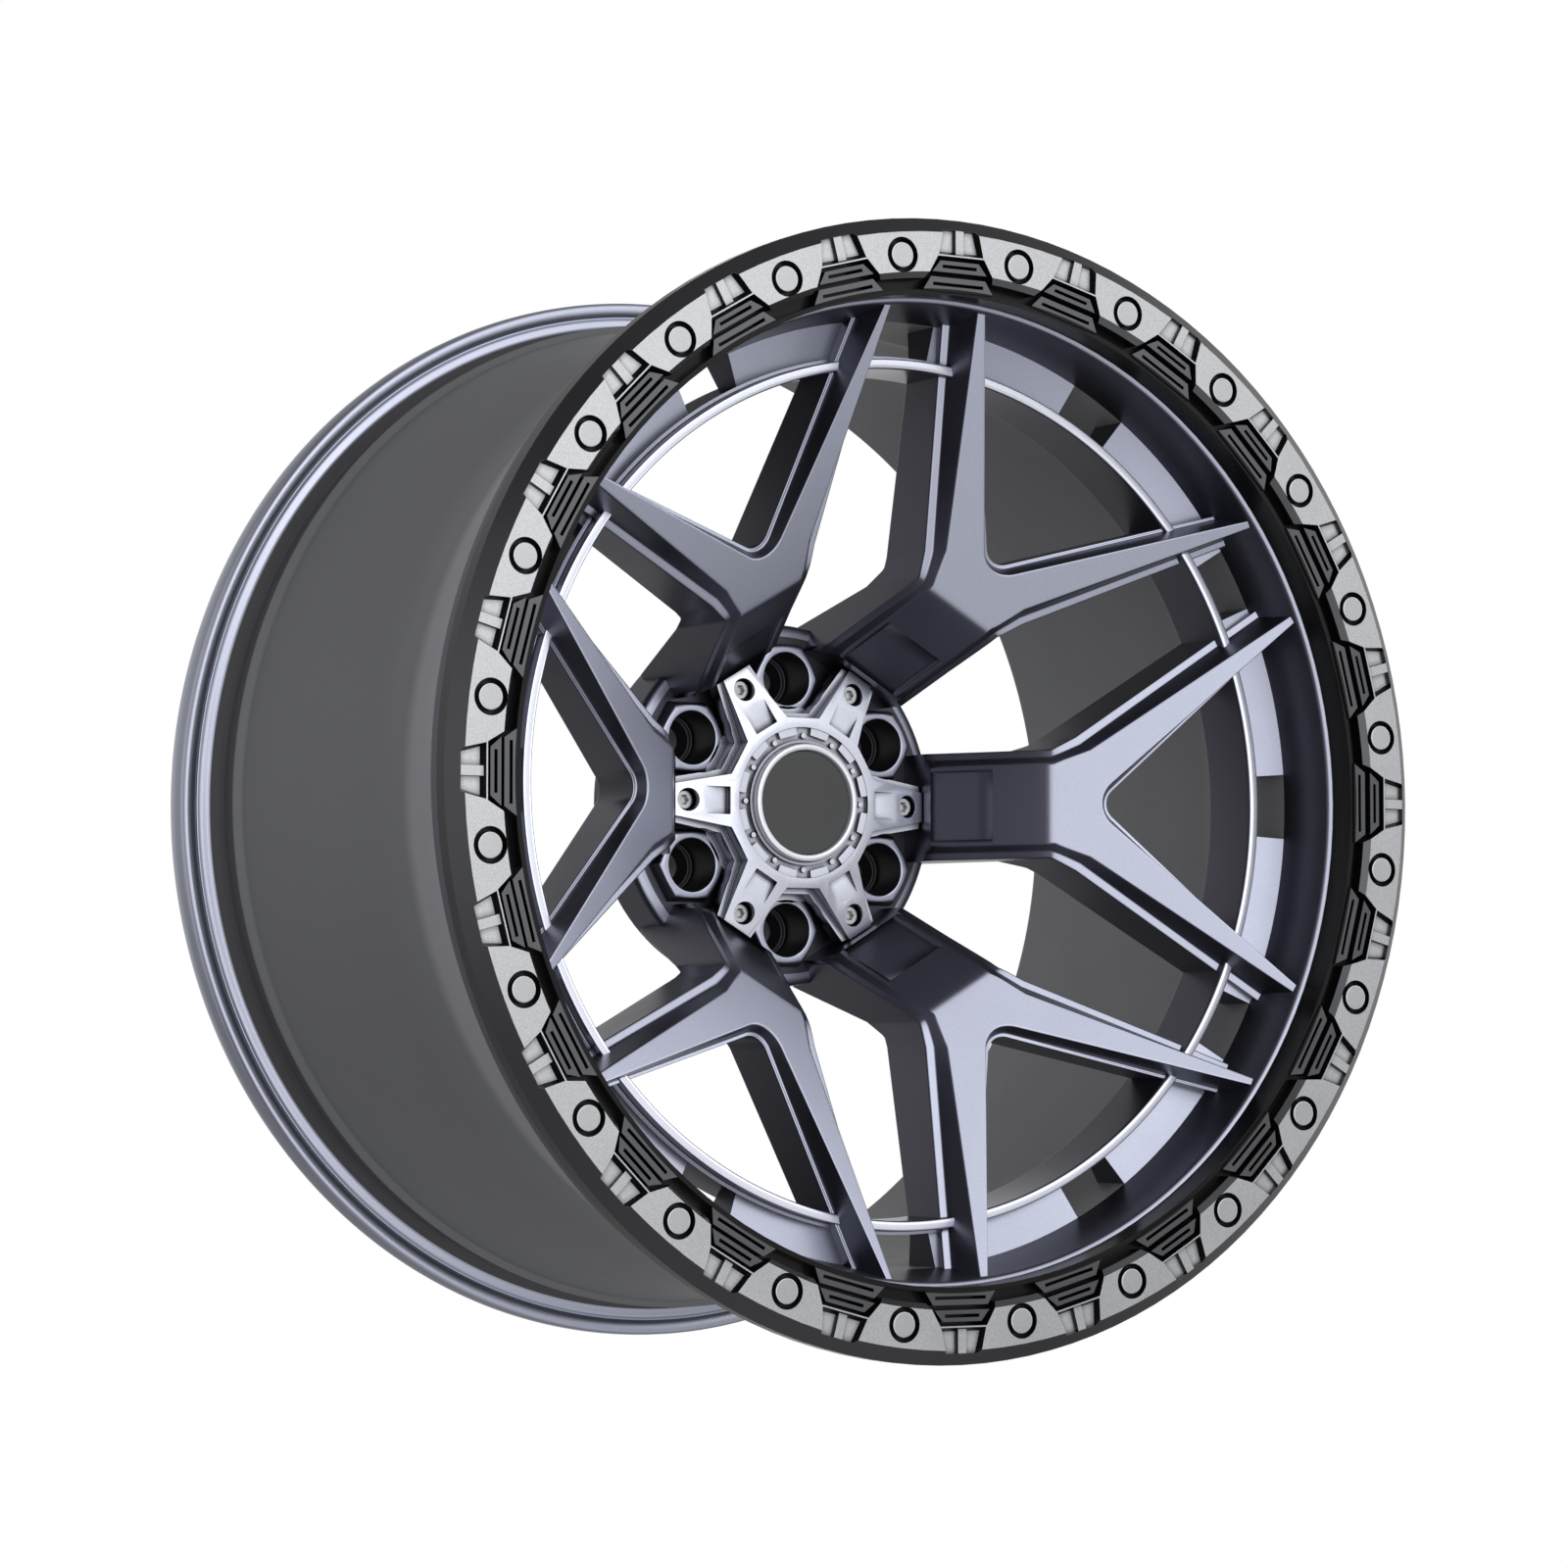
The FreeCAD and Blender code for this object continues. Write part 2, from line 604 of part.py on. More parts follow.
def cap_screws():
    """Socket-head screws that hold the star to the hub."""
    along = cap_screw_circle / 2
    head_bottom = lug_face_depth - cap_screw_floor
    head_top = head_bottom - cap_screw_head_height
    head = cylinder(cap_screw_head_diameter / 2, head_top, head_bottom, along)
    shank = cylinder(cap_screw_shank_diameter / 2, head_bottom, lug_face_depth + cap_screw_thread_length, along)
    corner = cap_screw_socket / math.sqrt(3)
    hexagon = [(along + corner * math.cos(math.radians(60 * i)), corner * math.sin(math.radians(60 * i)))
               for i in range(6)]
    socket = prism(hexagon, head_top - overshoot, head_top + cap_screw_socket_depth)
    return Part.makeCompound(ring_of(head.fuse(shank).cut(socket).removeSplitter(), cap_arm_count))


def cap_bezel():
    """Rounded bright ring that holds the disc in the cap."""
    top = cap_depth - bezel_proud
    seat = cap_depth + disc_thickness
    middle = (bezel_inner_radius + bezel_outer_radius) / 2
    return turned_polygon([(bezel_inner_radius, seat), (bezel_inner_radius, top + bezel_round)]
                          + curve((bezel_inner_radius, top + bezel_round), (bezel_inner_radius, top),
                                  (middle, top))[1:]
                          + curve((middle, top), (bezel_outer_radius, top),
                                  (bezel_outer_radius, top + bezel_round))[1:]
                          + [(bezel_outer_radius, seat)])


def cap_disc():
    """Plain medallion inside the bezel."""
    top = cap_depth - bezel_proud + bezel_round + disc_recess
    return cylinder(bezel_inner_radius - cap_clearance, top, cap_depth + disc_thickness)


os.makedirs("parts", exist_ok=True)
pieces = {
    "wheel": wheel(),
    "trim_ring": trim_ring(),
    "ring_bolts": ring_bolts(),
    "hub_cap": hub_cap(),
    "cap_screws": cap_screws(),
    "cap_bezel": cap_bezel(),
    "cap_disc": cap_disc(),
}
for name, shape in pieces.items():
    print(name, len(shape.Solids), "solids", round(shape.Volume / 1000, 1), "cm3", "valid", shape.isValid())
    shape.exportStep("parts/" + name + ".step")
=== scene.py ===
"""Looks of a deep-dish off-road alloy wheel: gunmetal casting, machined trim ring and silver hub cap.

Sizes are millimetres and angles degrees. "Depth" is measured inboard from the face of the trim ring,
"along" and "across" on a spoke that lies on +X, as in the part's source.
"""

import bmesh
import bpy
import numpy as np
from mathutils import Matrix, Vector, geometry


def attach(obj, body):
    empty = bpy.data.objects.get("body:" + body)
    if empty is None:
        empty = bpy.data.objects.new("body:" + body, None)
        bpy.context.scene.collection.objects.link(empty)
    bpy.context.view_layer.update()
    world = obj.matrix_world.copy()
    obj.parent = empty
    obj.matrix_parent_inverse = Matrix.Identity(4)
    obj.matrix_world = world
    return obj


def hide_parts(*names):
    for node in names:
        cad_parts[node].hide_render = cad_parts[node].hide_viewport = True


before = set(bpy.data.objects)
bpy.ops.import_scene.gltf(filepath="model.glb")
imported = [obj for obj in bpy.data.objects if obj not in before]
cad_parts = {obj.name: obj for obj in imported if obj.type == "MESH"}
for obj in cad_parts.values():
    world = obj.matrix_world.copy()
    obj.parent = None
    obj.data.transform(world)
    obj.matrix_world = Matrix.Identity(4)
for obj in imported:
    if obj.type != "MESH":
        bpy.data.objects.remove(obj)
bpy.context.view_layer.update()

# Studio: a plain white background, soft white panels round the wheel and a dim white wall behind it.
# The camera stands low on the outboard side and looks up a little at the dish. There is no floor.

scene = bpy.context.scene
scene.view_settings.view_transform = "Standard"

camera = bpy.data.objects.new("camera", bpy.data.cameras.new("camera"))
scene.collection.objects.link(camera)
scene.camera = camera
camera.data.sensor_width = 36.0
camera.data.lens = 107.07
camera.location = (-1.3433, -2.1990, -0.1451)
camera.rotation_euler = Vector((0.5192, 0.8525, 0.0605)).to_track_quat("-Z", "Y").to_euler()


def colour(code):
    """Linear colour of an sRGB hex code."""
    srgb = np.array([int(code[i:i + 2], 16) for i in (1, 3, 5)]) / 255.0
    linear = np.where(srgb <= 0.04045, srgb / 12.92, ((srgb + 0.055) / 1.055) ** 2.4)
    return (*linear.tolist(), 1.0)


def node(tree, kind, inputs=None, **settings):
    """Adds one shader node; an input that is a socket is linked, any other value is set."""
    made = tree.nodes.new(kind)
    for key, value in settings.items():
        setattr(made, key, value)
    for key, value in (inputs or {}).items():
        if isinstance(value, bpy.types.NodeSocket):
            tree.links.new(value, made.inputs[key])
        else:
            made.inputs[key].default_value = value
    return made


panels = (
    # azimuth from outboard towards +X, elevation, half-width of edge and core, strength
    (-18.0, 2.0, 56.0, 14.0, 1.2),
    (18.0, 34.0, 42.0, 8.0, 1.0),
    (30.0, 0.0, 100.0, 45.0, 0.45),
    (25.0, 65.0, 50.0, 10.0, 0.2),
    (0.0, -70.0, 55.0, 10.0, 0.4),
    (80.0, 8.0, 42.0, 14.0, 1.8),
    (-95.0, 10.0, 60.0, 10.0, 0.55),
    (149.0, 3.5, 24.0, 16.0, 0.7),
    (184.0, 8.0, 30.0, 8.0, 0.35),
)


def towards(azimuth, elevation):
    """Unit vector from the wheel to a place in the studio."""
    turn, rise = np.radians((azimuth, elevation))
    return (np.sin(turn) * np.cos(rise), -np.cos(turn) * np.cos(rise), np.sin(rise))


world = bpy.data.worlds.new("studio")
scene.world = world
world.use_nodes = True
tree = world.node_tree
tree.nodes.clear()
direction = node(tree, "ShaderNodeTexCoord").outputs["Generated"]
behind = node(tree, "ShaderNodeSeparateXYZ", {0: direction}).outputs["Y"]
wall_light = 0.3
light = node(tree, "ShaderNodeMapRange", {"Value": behind, "From Min": -0.1, "From Max": 0.35,
                                          "To Max": wall_light}, interpolation_type="SMOOTHSTEP").outputs["Result"]
for azimuth, elevation, edge, core, strength in panels:
    facing = node(tree, "ShaderNodeVectorMath", {0: direction, 1: towards(azimuth, elevation)},
                  operation="DOT_PRODUCT").outputs["Value"]
    edge_cosine, core_cosine = np.cos(np.radians((edge, core)))
    glow = node(tree, "ShaderNodeMapRange", {"Value": facing, "From Min": edge_cosine, "From Max": core_cosine,
                                             "To Max": strength}, interpolation_type="SMOOTHSTEP")
    light = node(tree, "ShaderNodeVectorMath", {0: light, 1: glow.outputs["Result"]}, operation="ADD").outputs[0]
path = node(tree, "ShaderNodeLightPath")
seen = node(tree, "ShaderNodeMix", {"Factor": path.outputs["Is Camera Ray"], 6: light, 7: colour("#FFFFFF")},
            data_type="RGBA")
shine = node(tree, "ShaderNodeBackground", {"Color": seen.outputs[2]})
node(tree, "ShaderNodeOutputWorld", {"Surface": shine.outputs[0]})

# Rim: the barrel with its tyre seats, the outboard lip, and the ledge and hoop that carry the spokes.
# It is cast in aluminium with the spokes and hub and then turned. Lip, ledge and inboard flange are
# painted gunmetal, the barrel plain grey, and the front of the hoop is machined bright.

half_width = 172.5


def metal(name, base, roughness, metallic=1.0, walls=None, grain=0.7, speckle=0.05, painted_shade_reach=0.0):
    """A finish with a fine speckle in its brightness and a slow drift in its roughness.

    base is the colour of surfaces that face outboard; walls, where given, that of the sides that turn away,
    a painted shade. Sides that lean a little outboard take up to a quarter of the base, faces near square
    to the axle all. grain is the size of the speckle, drawn coarser than the real flake so that it shows,
    drift that of the patches of roughness, and crevice the reach of the painted shade in inner corners, all in
    millimetres.
    """
    made = bpy.data.materials.new(name)
    made.use_nodes = True
    tree = made.node_tree
    shader = tree.nodes["Principled BSDF"]
    spot = node(tree, "ShaderNodeTexCoord").outputs
    drift = 40.0
    fine = node(tree, "ShaderNodeTexNoise", {"Vector": spot["Object"], "Scale": 1000.0 / grain, "Detail": 1.0})
    slow = node(tree, "ShaderNodeTexNoise", {"Vector": spot["Object"], "Scale": 1000.0 / drift, "Detail": 2.0})
    paint = node(tree, "ShaderNodeRGB").outputs[0]
    paint.default_value = colour(base)
    # Painted shade: sides that turn away from outboard take the darker walls colour.
    if walls:
        lean = node(tree, "ShaderNodeSeparateXYZ", {0: spot["Normal"]}).outputs["Y"]
        slight = node(tree, "ShaderNodeMapRange", {"Value": lean, "From Min": 0.0, "From Max": -0.3,
                                                   "To Max": 0.24}).outputs["Result"]
        outboard = node(tree, "ShaderNodeMapRange", {"Value": lean, "From Min": -0.6, "From Max": -0.8},
                        interpolation_type="SMOOTHSTEP").outputs["Result"]
        share = node(tree, "ShaderNodeMath", {0: slight, 1: outboard}, operation="MAXIMUM")
        paint = node(tree, "ShaderNodeMix", {"Factor": share.outputs[0], 6: colour(walls), 7: paint},
                     data_type="RGBA").outputs[2]
    brightness = node(tree, "ShaderNodeMapRange", {"Value": fine.outputs["Fac"], "From Min": 0.3, "From Max": 0.7,
                                                   "To Min": 1 - speckle, "To Max": 1 + speckle})
    shown = node(tree, "ShaderNodeVectorMath", {0: paint, "Scale": brightness.outputs["Result"]},
                 operation="SCALE")
    # Painted shade: inner corners are darkened by ambient occlusion.
    if painted_shade_reach:
        open_sky = node(tree, "ShaderNodeAmbientOcclusion", {"Distance": painted_shade_reach / 1000.0}, samples=8)
        shade_in_corners = node(tree, "ShaderNodeMath", {0: open_sky.outputs["AO"], 1: 1.6}, operation="POWER")
        shown = node(tree, "ShaderNodeVectorMath", {0: shown.outputs[0], "Scale": shade_in_corners.outputs[0]},
                     operation="SCALE")
    rough = node(tree, "ShaderNodeMapRange", {"Value": slow.outputs["Fac"], "From Min": 0.3, "From Max": 0.7,
                                              "To Min": roughness - 0.02, "To Max": roughness + 0.02})
    tree.links.new(shown.outputs[0], shader.inputs["Base Color"])
    tree.links.new(rough.outputs["Result"], shader.inputs["Roughness"])
    shader.inputs["Metallic"].default_value = metallic
    return made


def piece(name, points, faces, materials, finish_of_face=None):
    """A smooth mesh from points (along, depth, across) in millimetres, riding on the casting."""
    points = np.asarray(points, float) - (0.0, half_width, 0.0)
    mesh = bpy.data.meshes.new(name)
    mesh.from_pydata((points / 1000.0).tolist(), [], [list(face) for face in faces])
    for material in materials:
        mesh.materials.append(material)
    if finish_of_face is not None:
        mesh.polygons.foreach_set("material_index", np.asarray(finish_of_face, np.int32))
    mesh.shade_smooth()
    made = bpy.data.objects.new(name, mesh)
    scene.collection.objects.link(made)
    weights = made.modifiers.new("flat sides stay flat", "WEIGHTED_NORMAL")
    weights.keep_sharp = True
    return made


def grid(rows, columns, closed=True, flip=False):
    """Quads of a grid of points numbered row by row; closed joins the last column to the first.

    flip turns the fronts of the quads round, so that they point out of the piece.
    """
    row, column = np.meshgrid(np.arange(rows - 1), np.arange(columns if closed else columns - 1), indexing="ij")
    here, beside = row * columns + column, row * columns + (column + 1) % columns
    quads = np.stack([here, beside, beside + columns, here + columns], -1).reshape(-1, 4)
    return quads[:, ::-1] if flip else quads


def rounded(corners, steps=5):
    """A path with straight sides; each corner is (radius, depth, reach of its rounding along the sides).

    A rounding is a parabola from start to end, a reach away: (1-t)^2 start + 2t(1-t) corner + t^2 end.
    """
    corners = np.array(corners, float)
    share = np.linspace(0, 1, steps)[:, None]
    path_points = [corners[:1, :2]]
    for before, here, after in zip(corners, corners[1:], corners[2:]):
        start = here[:2] + here[2] * (before - here)[:2] / np.linalg.norm((before - here)[:2])
        end = here[:2] + here[2] * (after - here)[:2] / np.linalg.norm((after - here)[:2])
        bend = (1 - share) ** 2 * start + 2 * share * (1 - share) * here[:2] + share ** 2 * end
        path_points.append(bend if here[2] > 0 else here[None, :2])
    return np.concatenate(path_points + [corners[-1:, :2]])


def turned(path_points, angles):
    """Points of a path of (radius, depth) turned through the angles: one row for each point of the path.

    A point at angle a is (radius cos a, depth, radius sin a).
    """
    radius, depth = path_points[:, :1], path_points[:, 1:]
    turn = np.radians(angles)[None, :]
    return np.stack(np.broadcast_arrays(radius * np.cos(turn), depth, radius * np.sin(turn)), -1).reshape(-1, 3)


# The rim is cut in 12 sectors of 30 degrees, each with one window in its ledge.
windows, window_half = 12, 4.1
sector = np.arange(-15.0, 15.0, 1.0)
sector[np.abs(sector) == 4] *= window_half / 4
sector_turns = 30.0 * np.arange(windows)[:, None]
angles = (sector_turns + sector).ravel()
in_window = np.tile((sector >= -window_half) & (sector < window_half), windows)

# Satin metallic paint: light where it faces outboard; the deep grey on the steep sides is painted shade.
gunmetal = metal("satin gunmetal paint, painted shade on the walls", "#A3A6B6", 0.34, walls="#5E5E68")
# The same paint on the rolled flange: even, with a soft gleam along the roll.
roll_gunmetal = metal("satin gunmetal paint on the inboard flange", "#A9ACBC", 0.3)
# Machined and clear-coated: a bright line round the windows, with painted shade on its steep sides.
bright_edge = metal("bright machined edge, painted shade on the walls", "#DCDFEB", 0.3, walls="#5E5E68")
# Grey primer-like paint, dull. The lighter grey inside the rim is painted light, and the darkest grey in the bead
# seat is painted shade.
inside_grey_painted_light = metal("plain grey paint inside, lightened as painted light", "#7A7B7E", 0.5, 0.35)
seat_painted_shade = metal("painted shade in the dark grey inboard bead seat", "#3E3E41", 0.45, 0.35)
barrel_grey = metal("plain grey barrel paint, painted highlight beside the ring", "#646568", 0.45, 0.35)
# The barrel is drawn lighter beside the ring: a painted highlight.
fade_start, fade_end = 116.0, 92.0
tree = barrel_grey.node_tree
shader = tree.nodes["Principled BSDF"]
place = node(tree, "ShaderNodeTexCoord").outputs["Object"]
inboard = node(tree, "ShaderNodeSeparateXYZ", {0: place}).outputs["Y"]
painted_light_beside_ring = node(tree, "ShaderNodeMapRange", {"Value": inboard, "From Min": (fade_start - half_width) / 1000,
                                                "From Max": (fade_end - half_width) / 1000},
                   interpolation_type="SMOOTHSTEP").outputs["Result"]
well = shader.inputs["Base Color"].links[0].from_socket
paint = node(tree, "ShaderNodeMix", {"Factor": painted_light_beside_ring, 6: well, 7: colour("#86868D")}, data_type="RGBA")
tree.links.new(paint.outputs[2], shader.inputs["Base Color"])
rim_finishes = [gunmetal, barrel_grey, bright_edge, inside_grey_painted_light, seat_painted_shade, roll_gunmetal]
on_lip, on_barrel, on_hoop, on_inside, on_shaded_seat, on_flange = range(len(rim_finishes))

# Corners of the ledge and of the path round the rim, as (radius, depth) and (radius, depth, rounding).
ledge_inner, ledge_outer = (234.0, 59.2), (252.0, 54.4)
ledge_back_outer, ledge_back_inner = (252.0, 80.0), (234.0, 77.0)
lip_path = rounded([(*ledge_outer, 0), (257.5, 22, 1.6), (261, 20, 1), (297, 20, 1), (297, 28, 1.5),
                    (280.5, 28, 6)])
shell_path = rounded([(280.5, 30, 0), (280.5, 61, 12), (271, 104, 18), (265, 140, 22), (278.5, 288, 1),
                      (282.8, 292, 1.5), (279, 297, 1.5), (279, 312, 3), (284, 318, 3)])
flange_path = rounded([(283, 316, 0), (285, 318.5, 1.2), (289, 319.5, 1.2), (290.5, 321.5, 1), (292, 320.3, 1.2),
                       (299, 318.8, 5), (300, 333, 6), (296, 345, 5), (277, 340, 6), (271.5, 287, 20)])
inner_path = rounded([(272, 292, 0), (271.5, 287, 4), (258, 130, 12), (252, 110, 1.5), (*ledge_outer, 0)])
paths = [lip_path[:-1], shell_path[1:-1], flange_path[1:-1], inner_path[1:]]
rim_path = np.concatenate(paths)
path_finishes = (on_lip, on_barrel, on_flange, on_inside)
row_finish = np.concatenate([np.full(len(p), finish) for p, finish in zip(paths, path_finishes)])[:-1]
# Past the hump the barrel takes the painted shade of the bead seat, and the inside of the flange the lighter
# inside grey.
hump_end, flange_inside = 294.0, 277.5
row_finish[(row_finish == on_barrel) & (rim_path[:-1, 1] > hump_end)] = on_shaded_seat
row_finish[(row_finish == on_flange) & (rim_path[:-1, 0] < flange_inside)] = on_inside
count = len(angles)
rim_finish = np.repeat(row_finish, count)

hoop_path = rounded([(*ledge_inner, 0), (232, 59.2, 0.6), (232, 52, 1), (226.5, 52, 2.2), (226.5, 90, 1.2),
                     (234, 92, 0), (*ledge_inner, 0)])
hoop_row = np.arange(len(hoop_path) - 1)
first_bright_row, last_bright_row = 6, 15
hoop_is_bright = (hoop_row >= first_bright_row) & (hoop_row <= last_bright_row)
hoop_finish = np.repeat(np.where(hoop_is_bright, on_hoop, on_lip), count)

ledge_faces = grid(2, count, flip=True)[~in_window]
edge_angles = (sector_turns + np.array([-window_half, window_half])).ravel()
edge_count = len(edge_angles)
window_walls = turned(np.array([ledge_inner, ledge_outer, ledge_back_outer, ledge_back_inner]), edge_angles)
window_wall_faces = np.arange(4)[None, :] * edge_count + np.arange(edge_count)[:, None]
window_wall_faces[1::2] = window_wall_faces[1::2, ::-1]

groups = [(turned(rim_path, angles), grid(len(rim_path), count, flip=True)),
          (turned(hoop_path, angles), grid(len(hoop_path), count)),
          (turned(np.array([ledge_inner, ledge_outer]), angles), ledge_faces),
          (turned(np.array([ledge_back_outer, ledge_back_inner]), angles), ledge_faces),
          (window_walls, window_wall_faces)]
offsets = np.cumsum([0] + [len(points) for points, faces in groups])
all_faces = np.concatenate([faces + offset for (points, faces), offset in zip(groups, offsets)])
all_finish = np.full(len(all_faces), on_lip)
all_finish[:len(rim_finish) + len(hoop_finish)] = np.concatenate([rim_finish, hoop_finish])
rim = piece("rim", np.concatenate([points for points, faces in groups]), all_faces, rim_finishes, all_finish)
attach(rim, "root")
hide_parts("wheel")

# Spokes: six forked spokes in two tiers, part of the casting. A flat face climbs from the knee to the lip
# on two legs, a narrow shoulder follows it lower down, and a steep stem drops from the knee to the hub.

stem_foot, knee, elbow, leg_end = 82.4, 122.0, 138.5, 240.0
stem_half, elbow_half = 22.5, 29.5
outer_slope, inner_slope = 0.773, 1.01
fork, fork_round = 137.7, 16.5
bevel_run, shoulder_run = 3.5, 7.5
fork_bevel_run, fork_shoulder_run = 4.2, 6.2
knee_depth, shoulder_drop, stem_shoulder_drop, hollow_drop = 92.0, 4.0, 2.0, 13.0
stem_slope, face_slope, shoulder_slope = -1.667, -0.575, -0.426
leg_back_depth, leg_back_slope = 135.5, -0.5275
stem_back_start, stem_back_depth, stem_back_slope, foot_back_depth = 129.0, 131.8, -2.556, 208.5


def bent(along, inner_slope_of, outer_slope_of, at_knee, round_off=2.5):
    """Depth of two planes that meet at the knee in a small round: the mean slope times x, plus half the
    difference of the slopes times a hyperbola, sqrt(x^2 + round_off^2) - round_off, with x from the knee.
    """
    x = along - knee
    mean, half = (inner_slope_of + outer_slope_of) / 2, (outer_slope_of - inner_slope_of) / 2
    return at_knee + mean * x + half * (np.sqrt(x * x + round_off ** 2) - round_off)


def face_depth(along):
    """Flat face of the legs, and the steep front of the stem."""
    return bent(along, stem_slope, face_slope, knee_depth)


def shoulder_depth(along):
    """Lower tier beside the face, a drop under it at the knee and a little more along the stem."""
    down_stem = np.clip((knee - along) / 20, 0, 1)
    return bent(along, stem_slope, shoulder_slope, knee_depth + shoulder_drop) + down_stem * stem_shoulder_drop


def back_depth(along):
    """Back edge: a gentle slope behind the legs, a steep one behind the stem, and the hub's back."""
    behind_leg = leg_back_depth + leg_back_slope * (along - knee)
    behind_stem = stem_back_depth + stem_back_slope * (along - stem_back_start)
    return np.minimum(np.maximum(behind_leg, behind_stem), foot_back_depth)


outer_turn, inner_turn = np.arctan(outer_slope), np.arctan(inner_slope)
knee_turn = np.arctan((elbow_half - stem_half) / (elbow - knee))
fork_centre = fork + fork_round / np.sin(inner_turn)
sides = [
    # from, to, points, sideways step at each end
    ((stem_foot, stem_half), (knee, stem_half), 12, (0, 1), (0, 1)),
    ((knee, stem_half), (elbow, elbow_half), 8, (0, 1), (-np.tan((outer_turn + knee_turn) / 2), 1)),
    ((elbow, elbow_half), (leg_end, elbow_half + outer_slope * (leg_end - elbow)), 30,
     (-np.tan((outer_turn + knee_turn) / 2), 1), (0, 1 / np.cos(outer_turn))),
]
run = [np.linspace(0, 1, n, endpoint=False)[:, None] for a, b, n, p, q in sides]
plan = [np.array(a) * (1 - t) + np.array(b) * t for t, (a, b, n, p, q) in zip(run, sides)]
grow = [np.array(p) * (1 - t) + np.array(q) * t for t, (a, b, n, p, q) in zip(run, sides)]
tips = np.array([[leg_end, elbow_half + outer_slope * (leg_end - elbow)],
                 [leg_end, inner_slope * (leg_end - fork)]])
tip_grow = np.array([[0, 1 / np.cos(outer_turn)], [0, -1 / np.cos(inner_turn)]])
swing = np.linspace(np.pi / 2 - inner_turn, 0, 9)
fork_arc_way = np.stack([-np.cos(swing), np.sin(swing)], -1)
fork_arc = np.array([fork_centre, 0]) + fork_round * fork_arc_way
t = np.linspace(0, 1, 24, endpoint=False)[1:, None]
inner_side = tips[1] * (1 - t) + fork_arc[0] * t
inner_grow = tip_grow[1] * (1 - t) - fork_arc_way[0] * t
half_plan = np.concatenate(plan + [tips, inner_side, fork_arc])
half_grow = np.concatenate(grow + [tip_grow, inner_grow, -fork_arc_way])
mirror = np.array([1, -1])
plan = np.concatenate([half_plan, (half_plan * mirror)[-2::-1]])
grow = np.concatenate([half_grow, (half_grow * mirror)[-2::-1]])
outline_count = len(plan)


def skirt(corners, reaches, steps=4):
    """Rows of points down the side of the spoke.

    corners holds (sideways distance, depth function); each corner is rounded by a parabola that starts
    and ends a reach away from it, so the row at share t is (1-t)^2 start + 2t(1-t) corner + t^2 end.
    """
    def corner_at(distance, depth):
        reach = np.broadcast_to(distance, outline_count)
        flat = plan + reach[:, None] * grow
        return np.stack([reach, depth(flat[:, 0])], -1)

    spots = [corner_at(*corner) for corner in corners]
    share = np.linspace(0, 1, steps)[:, None, None]
    rows = [spots[0][None]]
    for before, here, after, reach in zip(spots, spots[1:], spots[2:], reaches):
        back = before - here
        ahead = after - here
        back_length = np.linalg.norm(back, axis=1, keepdims=True)
        ahead_length = np.linalg.norm(ahead, axis=1, keepdims=True)
        start = here + back / back_length * np.minimum(reach, back_length * 0.45)
        end = here + ahead / ahead_length * np.minimum(reach, ahead_length * 0.45)
        rows.append((1 - share) ** 2 * start + 2 * share * (1 - share) * here + share ** 2 * end)
    rows = np.concatenate(rows + [spots[-1][None]])
    flat = plan + rows[..., :1] * grow
    return np.stack([flat[..., 0], rows[..., 1], flat[..., 1]], -1)


def pocket_depth(along):
    """Floor of the hollow in the back of the legs; the stem has none."""
    return np.where(along > knee - 0.1, shoulder_depth(along) + hollow_drop, back_depth(along))


# The inner sides of the fork have a taller bevel and a thinner shoulder than the outer ones.
fork_side = np.arange(len(half_plan)) > sum(len(r) for r in run)
fork_side = np.concatenate([fork_side, fork_side[-2::-1]])
bevel_edge = np.where(fork_side, fork_bevel_run, bevel_run)
shoulder_edge = np.where(fork_side, fork_shoulder_run, shoulder_run)
skirt_rows = skirt([(-1.2, face_depth), (0.0, face_depth), (bevel_edge, shoulder_depth),
                    (shoulder_edge, shoulder_depth), (shoulder_edge, back_depth), (0.5, back_depth),
                    (-0.3, pocket_depth), (-0.6, pocket_depth)], (1.0, 0.8, 1.0, 1.5, 1.2, 1.0))
rows = len(skirt_rows)
stem_count = sides[0][2]
fork_cap = np.arange(stem_count, outline_count - stem_count)
left = np.arange(stem_count)
right = outline_count - 1 - left
strip = np.stack([left, left + 1, right - 1, right], -1)
back_start = (rows - 1) * outline_count
pocket_end = 6
spoke_points = skirt_rows.reshape(-1, 3)
spoke_faces = grid(rows, outline_count).tolist()
spoke_faces += strip[pocket_end:, ::-1].tolist() + (strip + back_start).tolist()
spoke_faces += [fork_cap[::-1].tolist(), (fork_cap + back_start).tolist()]

# The stem's own pocket, open at the foot, with a steep end wall at the sixth point of the outline.
pocket_floor, pocket_half, stem_edge, wall_draft = 5.0, 19.0, 21.3, 0.4
end_along = plan[pocket_end, 0]
pocket_along = np.append(plan[:pocket_end, 0], (end_along - wall_draft, end_along))[:, None]
pocket_side = np.array([stem_edge, pocket_half, pocket_half - wall_draft])
pocket_across = np.append(pocket_side, -pocket_side[::-1])
pocket_drop = pocket_floor * np.array([0, 0, 1, 1, 0, 0]) * (pocket_along < end_along - 0.1)
pocket = np.stack(np.broadcast_arrays(pocket_along, face_depth(pocket_along) + pocket_drop, pocket_across), -1)
spoke_faces += (grid(len(pocket_along), 6, closed=False) + len(spoke_points)).tolist()
spoke_points = np.concatenate([spoke_points, pocket.reshape(-1, 3)])


